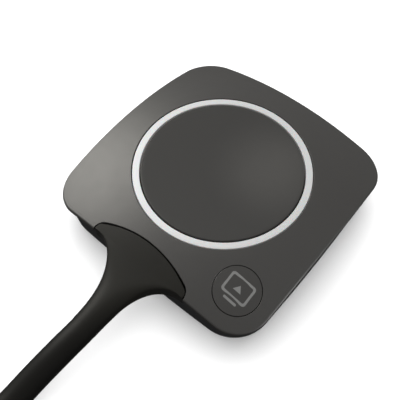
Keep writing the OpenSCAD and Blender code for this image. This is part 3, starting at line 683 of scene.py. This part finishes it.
def makeBottomCover(s):
    bowl = makePiece("bottomCoverBowl", [loft(bowlRings(s))])
    recess = housing["padRadius"] + s["recessFit"]
    points, faces = spin([(recess, s["recessLow"]), (recess, s["recessHigh"])], s["recessSteps"], False)
    cutters = [([(x + sx * padPlace, y + sy * padPlace, z) for x, y, z in points], faces)
               for sx in (-1, 1) for sy in (-1, 1)]
    cutters.append(loft([[(x, y, z) for x, y in s["slot"]] for z in (s["slotLow"], s["slotHigh"])]))
    cutAway(bowl, cutters)
    dress(bowl, "lowerPlastic", "lower_plastic", "housing", "bottom_cover")


makeBottomCover(bottomCoverSettings)
print("bottom cover made")


# Light ring with its guide tube

lightRingSettings = {
    "bevel": 0.16, "bevelSteps": 6, "steps": 256, "outerSink": 0.1, "innerSink": 0.5, "ledge": 14.15,
    "flangeTop": 13.85, "flangeLow": 12.85, "guideOut": 0.65, "guideIn": 0.85,
}


def makeLightRing(s):
    low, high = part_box("light_ring")
    flange, guideLow = (high.x - low.x) / 2 / mm, low.z / mm
    b, n = s["bevel"], s["bevelSteps"]
    topIn = float(skinZ(ringInner, 0)) - s["innerSink"]
    topOut = float(skinZ(ringOuter, 0)) - s["outerSink"]
    guideOut, guideIn = ringOuter + s["guideOut"], ringOuter - s["guideIn"]
    profile = arcPoints((ringOuter - b, topOut - b), b, 0, 90, n)
    profile += arcPoints((ringInner + b, topIn - b), b, 90, 180, n)
    profile += [(ringInner, s["ledge"]), (guideIn, s["ledge"]), (guideIn, guideLow), (guideOut, guideLow),
                (guideOut, s["flangeLow"]), (flange, s["flangeLow"]), (flange, s["flangeTop"]),
                (ringOuter, s["flangeTop"])]
    ring = makePiece("lightRingBody", [spin(profile, s["steps"])])
    dress(ring, "ringPlastic", "diffuser_plastic", "housing", "light_ring")


makeLightRing(lightRingSettings)
print("light ring made")


# Push disc: a dished face with a rounded edge and a hooked skirt

pushDiscSettings = {"gap": 0.28, "sink": 0.46, "dish": 0.9, "edge": 0.25, "edgeFrom": 82, "edgeSteps": 8,
                    "thickness": 1.4, "skirt": 1.3, "hookOut": 0.75, "hookTop": 14.03, "hookLow": 13.23,
                    "steps": 256, "rings": 24}


def makePushDisc(s):
    radius = ringInner - s["gap"]
    flat = radius - s["edge"]
    rimZ = housing["height"] - s["sink"]
    under = rimZ - s["dish"] - s["thickness"]
    hook, skirt = radius + s["hookOut"], radius - s["skirt"]
    profile = [(flat * t, rimZ - s["dish"] * (1 - t ** 2)) for t in np.linspace(0.0, 1, s["rings"])]
    profile += arcPoints((flat, rimZ - s["edge"]), s["edge"], s["edgeFrom"], 0, s["edgeSteps"])
    profile += [(radius, s["hookTop"]), (hook, s["hookTop"]), (hook, s["hookLow"]), (skirt, s["hookLow"]),
                (skirt, under), (0, under)]
    disc = makePiece("pushDiscFace", [spin(profile, s["steps"], False)])
    dress(disc, "discPlastic", "disc_plastic", "disc", "push_disc")


makePushDisc(pushDiscSettings)
print("push disc made")


# Corner button

cornerButtonSettings = {"underZ": 10.69, "edgeRadius": 0.08, "spacing": 0.6}


def makeCornerButton(s):
    def rimBy(x, y):
        return housing["keyRadius"] - keyBy(x, y)

    def inside(x, y):
        return rimBy(x, y) > 0

    def topZ(x, y):
        return skinZ(x, y) - rounding(rimBy(x, y), s["edgeRadius"])

    def underZ(x, y):
        return np.full(len(x), s["underZ"])

    loops = [keyLoop(housing["keyRadius"] - d) for d in roundingSteps(s["edgeRadius"])]
    button = makePiece("cornerButtonCap", [plate(loops, inside, topZ, underZ, s["spacing"])])
    dress(button, "coverPlastic", "cover_plastic", "key", "corner_button")


makeCornerButton(cornerButtonSettings)


# The button's printed sign: a plain screen on a stand with an arrow in it

signSettings = {
    "up": 0.45, "width": 6.2, "height": 4.7, "stroke": 0.52, "corner": 0.7, "innerCorner": 0.388,
    "standWidth": 3.3, "standGap": 0.68, "standCorner": 0.234, "standSteps": 4, "arrowWidth": 2.0,
    "arrowHeight": 1.4, "proud": 0.012, "sunk": 0.036, "spacing": 0.3,
}


def makeSign(s):
    middle = np.array((housing["keyPlace"], -housing["keyPlace"] + s["up"]))

    def printed(loops, inside):  # ink a little proud of the skin, drawn round the sign's middle
        return plate([loop + middle for loop in loops],
                     lambda x, y: inside(x - middle[0], y - middle[1]),
                     lambda x, y: skinZ(x, y) + s["proud"],
                     lambda x, y: skinZ(x, y) - s["sunk"], s["spacing"])

    outer = (s["width"], s["height"], s["corner"])
    inner = (s["width"] - 2 * s["stroke"], s["height"] - 2 * s["stroke"], s["innerCorner"])
    screen = printed([boxLoop(*outer), boxLoop(*inner)],
                     lambda x, y: (boxBy(x, y, *outer) < 0) & (boxBy(x, y, *inner) > 0))
    bar = (s["standWidth"], s["stroke"], s["standCorner"])
    barY = -s["height"] / 2 - s["standGap"]
    stand = printed([boxLoop(*bar, s["standSteps"]) + (0, barY)],
                    lambda x, y: boxBy(x, y - barY, *bar) < 0)
    wide, high = s["arrowWidth"] / 2, s["arrowHeight"] / 2
    arrow = printed([np.array([(-wide, -high), (wide, -high), (0, high)])],
                    lambda x, y: (y > -high) & (abs(x) < wide * (high - y) / (2 * high)))
    sign = makePiece("buttonSign", [screen, stand, arrow])
    dress(sign, "iconInk", "cover_plastic", "key")


makeSign(signSettings)
print("corner button and its sign made")


# Cable boot: an inlay flush with the crown that flares down to the cord, thin wings with a round core

cableBootSettings = {
    "rimY": -29.15, "neckY": -46.0, "neckZ": 8.2, "neckRadius": 3.05, "seamEdge": 0.12,
    "wingHalf": 1.75, "wingEase": 0.8, "squareness": 16.0, "squareFade": 6,
    "coreHalf": 6.5, "coreDrop": 1.2, "across": 65, "stations": 30, "inlayFrom": 0.08,
    "inlayStations": 12, "pull": 0.7, "pulls": 30, "rootClearance": 0.2, "sharpAngle": 40.0,
    "roots": [{"half": 6.45, "fromY": -29.15, "toY": -26.4, "lowZ": 5.05},
              {"half": 8.0, "fromY": -26.4, "toY": -23.33, "lowZ": 3.4}],
}


def bootRing(xs, ys, tops, unders):
    top = [(float(x), float(y), float(z)) for x, y, z in zip(xs, ys, tops)]
    under = [(float(x), float(y), float(z)) for x, y, z in zip(xs, ys, unders)]
    return top + under[::-1]


def flareSection(v, s):  # one cut square to the cord, v from 0 at the rim to 1 at the neck
    narrowing = (1 - math.sqrt(v)) ** 2
    half = s["neckRadius"] + (inlay["halfWidth"] - s["neckRadius"]) * narrowing
    core = s["neckRadius"] + (s["coreHalf"] - s["neckRadius"]) * narrowing
    wing = s["wingHalf"] + (s["neckRadius"] - s["wingHalf"]) * v ** s["wingEase"]
    square = 2 + (s["squareness"] - 2) * (1 - v) ** s["squareFade"]
    x = half * np.sin(np.linspace(-math.pi / 2, math.pi / 2, s["across"]))
    span = s["rimY"] - s["neckY"]
    rimZ = float(skinZ(0, s["rimY"]))
    slope = s["rimY"] / math.sqrt(crownRadius ** 2 - s["rimY"] ** 2)
    topAtNeck = s["neckZ"] + s["neckRadius"]
    ease = 2 * v ** 3 - 3 * v ** 2 + 1  # leaves the rim along the skin and comes to the neck level
    top = ease * rimZ + (1 - ease) * topAtNeck + (v ** 3 - 2 * v ** 2 + v) * slope * span
    sag = (skinZ(x, s["rimY"]) - rimZ) * (1 - v) ** 3
    bulge = wing * (1 - abs(x / half) ** square) ** (1 / square)
    middle = top - wing + sag
    drop = top - 2 * wing - (topAtNeck - 2 * s["neckRadius"] - s["coreDrop"] * (1 - v) ** 2)
    belly = drop * np.sqrt(np.maximum(1 - (x / core) ** 2, 0))
    return bootRing(x, np.full(len(x), s["rimY"] - span * v), middle + bulge, middle - bulge - belly)


def inlaySection(t, s):  # t from 0 at the curved inner edge to 1 at the rim
    share = np.sin(np.linspace(-math.pi / 2, math.pi / 2, s["across"]))
    half = inlay["halfWidth"]
    arc = inlayCentreY + np.sqrt(inlay["arcRadius"] ** 2 - (half * share) ** 2)
    y = arc + (s["rimY"] - arc) * t
    for _ in range(s["pulls"]):  # draw the ends in until they lie on the rounded corner
        half -= max(inlayBy(half * share[0], y[0]), 0) * s["pull"]
    x = share * half
    fall = rounding(-inlayBy(x, y), s["seamEdge"])
    return bootRing(x, y, skinZ(x, y) - fall, skinZ(x, y, housing["coverThickness"]))


def bootRoot(r, clearance):  # a block that holds the boot inside the housing
    half, under = r["half"], housing["coverThickness"] + clearance
    corners = [(-half, r["fromY"]), (half, r["fromY"]), (half, r["toY"]), (-half, r["toY"])]
    return loft([[(x, y, r["lowZ"]) for x, y in corners],
                 [(x, y, float(skinZ(x, y, under))) for x, y in corners]])


def makeCableBoot(s):
    reach = inlay["reach"] - housing["halfWidth"] - s["rimY"]
    steps = [d / reach for d in roundingSteps(s["seamEdge"])]
    steps += list(np.linspace(s["inlayFrom"], 1, s["inlayStations"]))
    inner = [inlaySection(t, s) for t in steps]
    outer = [flareSection((i / s["stations"]) ** 2, s) for i in range(s["stations"] + 1)]

    def strip(rings):  # the ends are closed by faces from the top edge to the under edge
        count, faces = len(rings[0]), sideFaces(rings)
        for a in (0, (len(rings) - 1) * count):
            b = a + count - 1
            faces += [(a + i, a + i + 1, b - i - 1, b - i) for i in range(s["across"] - 1)]
        return [p for ring in rings for p in ring], faces

    roots = [bootRoot(r, s["rootClearance"]) for r in s["roots"]]
    boot = makePiece("cableBootRubber", [strip(inner), strip(outer), *roots], s["sharpAngle"])
    dress(boot, "cordRubber", "boot_rubber", "housing", "cable_boot")
    return boot


cableBoot = makeCableBoot(cableBootSettings)
print("cable boot made")


# Rubber feet, copies of one pad

footSettings = {"chamfer": 0.3, "chamferSteps": 6, "height": 1.3, "steps": 64}


def feetTree():
    tree, start, realize = nodeTree("feetSpread", [("Spread", "NodeSocketFloat")], "footRubber")
    square = addNode(tree, "GeometryNodeMeshGrid")
    square.inputs["Vertices X"].default_value = 2
    square.inputs["Vertices Y"].default_value = 2
    for side in ("Size X", "Size Y"):
        tree.links.new(start.outputs["Spread"], square.inputs[side])
    addCopies(tree, start, realize, square)
    return tree


def makeFeet(s):
    r, c = housing["padRadius"], s["chamfer"]
    profile = [(0, 0), *arcPoints((r - c, c), c, -90, 0, s["chamferSteps"])]
    profile += [(r, s["height"]), (0, s["height"])]
    pad = makePiece("rubberFootPads", [spin(profile, s["steps"], False)])
    feet = runTree(pad, feetTree(), {"Spread": 2 * padPlace * mm})
    finishMesh(feet)
    dress(feet, "footRubber", "foot_rubber", "housing", "rubber_feet")


makeFeet(footSettings)
print("feet set out")


# Ring lights, set round under the light ring

lightsSettings = {"count": 12, "width": 1.6, "depth": 1.2, "height": 0.7, "corner": 0.15, "bevel": 0.1,
                  "topCorner": 0.1, "cornerSteps": 4}


def lightsTree():
    numbers = [("Count", "NodeSocketInt"), ("Radius", "NodeSocketFloat")]
    tree, start, realize = nodeTree("lightsRound", numbers, "lampBody")
    circle = addNode(tree, "GeometryNodeMeshCircle")
    tree.links.new(start.outputs["Count"], circle.inputs["Vertices"])
    tree.links.new(start.outputs["Radius"], circle.inputs["Radius"])
    place = addNode(tree, "GeometryNodeInputPosition")
    turn = addNode(tree, "FunctionNodeAlignEulerToVector", axis="X")
    tree.links.new(place.outputs["Position"], turn.inputs["Vector"])
    copies = addCopies(tree, start, realize, circle)
    tree.links.new(turn.outputs["Rotation"], copies.inputs["Rotation"])
    return tree


def makeRingLights(s):
    low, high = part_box("ring_lights")
    z, top = low.z / mm, low.z / mm + s["height"]
    b, n = s["bevel"], s["cornerSteps"]
    whole = boxLoop(s["depth"], s["width"], s["corner"], n)
    small = boxLoop(s["depth"] - 2 * b, s["width"] - 2 * b, s["topCorner"], n)
    rings = [[(x, y, at) for x, y in plan] for plan, at in ((whole, z), (whole, top - b), (small, top))]
    values = {"Count": s["count"], "Radius": high.x - s["depth"] / 2 * mm}
    lights = runTree(makePiece("ringLightBodies", [loft(rings)]), lightsTree(), values)
    finishMesh(lights)
    dress(lights, "lampBody", "lamp_body", "housing", "ring_lights")


makeRingLights(lightsSettings)
print("ring lights set out")


# Plug: grooved grip and sheet-metal shell

plugPlace = {"x": -2.0, "z": 4.0, "shellY": -113.0}  # its middle line, and where grip and shell meet


def plugRing(y, width, height, corner):
    return [(plugPlace["x"] + x, y, plugPlace["z"] + z) for x, z in boxLoop(width, height, corner)]


gripSettings = {
    "fromY": -88.0, "neckTo": -95.0, "neckRadius": 3.5, "neckBevel": 0.25, "neckSlack": 0.01,
    "width": 16.0, "height": 8.0, "corner": 2.4, "edge": 0.6, "edgeSteps": 6, "sharpAngle": 40.0,
    "grooveFrom": 4.8, "groovePitch": 3.2, "grooveCount": 4, "grooveWidth": 0.8, "grooveDepth": 0.35,
    "grooveShape": [(0.5, 0), (0.42, 0.8), (0.3, 1), (-0.3, 1), (-0.42, 0.8), (-0.5, 0)],
}


def makePlugGrip(s):
    w, h, c, end = s["width"], s["height"], s["corner"], plugPlace["shellY"]

    def neck(y, inset):
        side = 2 * (s["neckRadius"] - inset)
        return plugRing(y, side, side, side / 2 - s["neckSlack"])

    def rounded(y, way, turns):
        rings = []
        for a in turns:
            along, inset = s["edge"] * (1 - math.cos(a)), s["edge"] * (1 - math.sin(a))
            rings.append(plugRing(y + way * along, w - 2 * inset, h - 2 * inset, c - inset))
        return rings

    turns = np.radians(np.linspace(0, 90, s["edgeSteps"]))
    rings = [neck(s["fromY"], s["neckBevel"]), neck(s["fromY"] - s["neckBevel"], 0), neck(s["neckTo"], 0)]
    rings += rounded(s["neckTo"], -1, turns)
    for i in reversed(range(s["grooveCount"])):
        y = end + s["grooveFrom"] + i * s["groovePitch"]
        rings += [plugRing(y + step * s["grooveWidth"], w - 2 * share * s["grooveDepth"], h, c)
                  for step, share in s["grooveShape"]]
    rings += rounded(end, 1, turns[::-1])
    grip = makePiece("plugGripBody", [loft(rings)], s["sharpAngle"])
    dress(grip, "gripPlastic", "grip_plastic", "housing", "plug_grip")
    return grip


shellSettings = {
    "tipY": -131.75, "width": 12.0, "height": 4.5, "corner": 0.7, "tipBevel": 0.1, "sheet": 0.3,
    "catchWidth": 2.3, "catchLength": 2.2, "catchPitch": 5.8, "catchFromTip": 6.2, "catchCut": (-1, 9),
}


def makePlugShell(s):
    w, h, c = s["width"], s["height"], s["corner"]
    base, tip, bevel, sheet = plugPlace["shellY"], s["tipY"], s["tipBevel"], s["sheet"]
    rings = [plugRing(y, w - 2 * inset, h - 2 * inset, c - inset)
             for y, inset in ((base, 0), (tip + bevel, 0), (tip, bevel), (tip, sheet), (base, sheet))]
    shell = makePiece("plugShellMetal", [loft(rings, True)])
    cutters = []
    for side in (-1, 1):
        middle = plugPlace["x"] + side * s["catchPitch"] / 2
        corners = [(middle + dx * s["catchWidth"] / 2, tip + s["catchFromTip"] + dy * s["catchLength"] / 2)
                   for dx, dy in ((-1, -1), (1, -1), (1, 1), (-1, 1))]
        cutters.append(loft([[(x, y, z) for x, y in corners] for z in s["catchCut"]]))
    cutAway(shell, cutters)
    dress(shell, "plugSteel", "plated_steel", "housing", "plug_shell")
    return shell


plugGrip = makePlugGrip(gripSettings)
plugShell = makePlugShell(shellSettings)
print("plug made")


# Pieces carried over from the CAD model, given their surfaces

carriedOver = {
    "ring_reflector": "whitePlastic", "board_socket": "whitePlastic", "lead_connector": "whitePlastic",
    "plug_tongue": "whitePlastic", "disc_guide": "darkPlastic", "disc_switch_case": "darkPlastic",
    "corner_switch_case": "darkPlastic", "disc_bumper": "foamRubber", "disc_switch_stem": "stemPlastic",
    "corner_switch_stem": "stemPlastic", "circuit_board": "boardLaminate", "radio_shield": "screwSteel",
    "processor_chip": "chipResin", "memory_chip": "chipResin", "board_parts": "ceramic",
    "left_antenna": "contactMetal", "right_antenna": "contactMetal", "plug_contacts": "contactMetal",
    "inner_wires": "wireCover", "housing_screws": "screwSteel",
}
for node, finish in carriedOver.items():
    carried = frame["nodes"][node]
    carried.data.materials.clear()
    carried.data.materials.append(materials[finish])
print("carried-over pieces painted:", len(carriedOver))


# Pale floor

floorSettings = {"half": 40000.0}


def makeFloor(s):
    half = s["half"] * mm
    corners = [(-half, -half, 0), (half, -half, 0), (half, half, 0), (-half, half, 0)]
    mesh = bpy.data.meshes.new("studioFloor")
    mesh.from_pydata(corners, [], [(0, 1, 2, 3)])
    floor = addObject("studioFloor", mesh)
    mesh.materials.append(materials["tableTop"])
    floor.visible_diffuse = False
    floor.visible_glossy = False


makeFloor(floorSettings)


# Soft lamps: one for all, one for the floor alone, and two that show only as gloss

lampSettings = {
    "keyLamp": {"towards": (-0.28, 0.34, 0.9), "distance": 600.0, "size": 900.0, "power": 3.7,
                "colour": (1, 1, 1), "diffuse": True, "glossy": False},
    "washLamp": {"towards": (-0.05, -0.2, 0.98), "distance": 600.0, "size": 1500.0, "power": 5.9,
                 "colour": (1, 1, 1), "diffuse": True, "glossy": False, "onlyOn": "studioFloor",
                 "passes": ["cordJacket", "cableBootRubber"]},
    "sheenLamp": {"towards": (-0.81, -0.01, 0.58), "distance": 500.0, "size": 380.0, "power": 2.65,
                  "colour": (1.0, 0.98, 0.92), "diffuse": False, "glossy": True},
    "edgeLamp": {"towards": (0.97, 0.1, 0.22), "distance": 500.0, "size": 240.0, "power": 1.3,
                 "colour": (1, 1, 1), "diffuse": False, "glossy": True, "onlyOn": "topCoverShell"},
}


def makeLamp(name, s):
    data = bpy.data.lights.new(name, "AREA")
    data.shape = "DISK"
    data.size = s["size"] * mm
    data.energy = s["power"]
    data.color = s["colour"]
    lamp = addObject(name, data)
    way = Vector(s["towards"]).normalized()
    lamp.location = way * s["distance"] * mm
    lamp.rotation_euler = way.to_track_quat("Z", "Y").to_euler()
    lamp.visible_diffuse = s["diffuse"]
    lamp.visible_glossy = s["glossy"]
    if "onlyOn" in s:  # lights this piece alone, and the others still shade it
        lit = bpy.data.collections.new(name + "Lit")
        lit.objects.link(bpy.data.objects[s["onlyOn"]])
        lamp.light_linking.receiver_collection = lit
    if "passes" in s:  # these pieces don't block the lamp, which keeps the shade beside them soft
        clear = bpy.data.collections.new(name + "Passes")
        for piece in s["passes"]:
            clear.objects.link(bpy.data.objects[piece])
        for link in clear.collection_objects:
            link.light_linking.link_state = "EXCLUDE"
        lamp.light_linking.blocker_collection = clear


for lampName, lampValues in lampSettings.items():
    makeLamp(lampName, lampValues)


# Sky: its strength changes with the height of the view, and falls off below the horizon

skySettings = {"zenith": 0.48, "horizon": 0.7, "skyBand": (0.05, 0.5),
               "ground": 0.07, "groundBand": (-0.02, 0.0)}


def makeSky(s):
    world = bpy.data.worlds.new("studioWorld")
    bpy.context.scene.world = world
    world.use_nodes = True
    tree = world.node_tree
    tree.nodes.clear()
    out = addNode(tree, "ShaderNodeOutputWorld")
    back = addNode(tree, "ShaderNodeBackground")
    way = addNode(tree, "ShaderNodeTexCoord")
    split = addNode(tree, "ShaderNodeSeparateXYZ")
    tree.links.new(way.outputs["Generated"], split.inputs["Vector"])
    dim = addNode(tree, "ShaderNodeMath", operation="MULTIPLY")
    bands = ((s["groundBand"], s["ground"], 1.0), (s["skyBand"], s["horizon"], s["zenith"]))
    for i, (band, atLow, atHigh) in enumerate(bands):
        level = addNode(tree, "ShaderNodeMapRange")
        level.inputs["From Min"].default_value, level.inputs["From Max"].default_value = band
        level.inputs["To Min"].default_value = atLow
        level.inputs["To Max"].default_value = atHigh
        tree.links.new(split.outputs["Z"], level.inputs["Value"])
        tree.links.new(level.outputs["Result"], dim.inputs[i])
    tree.links.new(dim.outputs["Value"], back.inputs["Strength"])
    tree.links.new(back.outputs["Background"], out.inputs["Surface"])


makeSky(skySettings)
bpy.context.scene.view_settings.view_transform = "Standard"
print("stage lit")
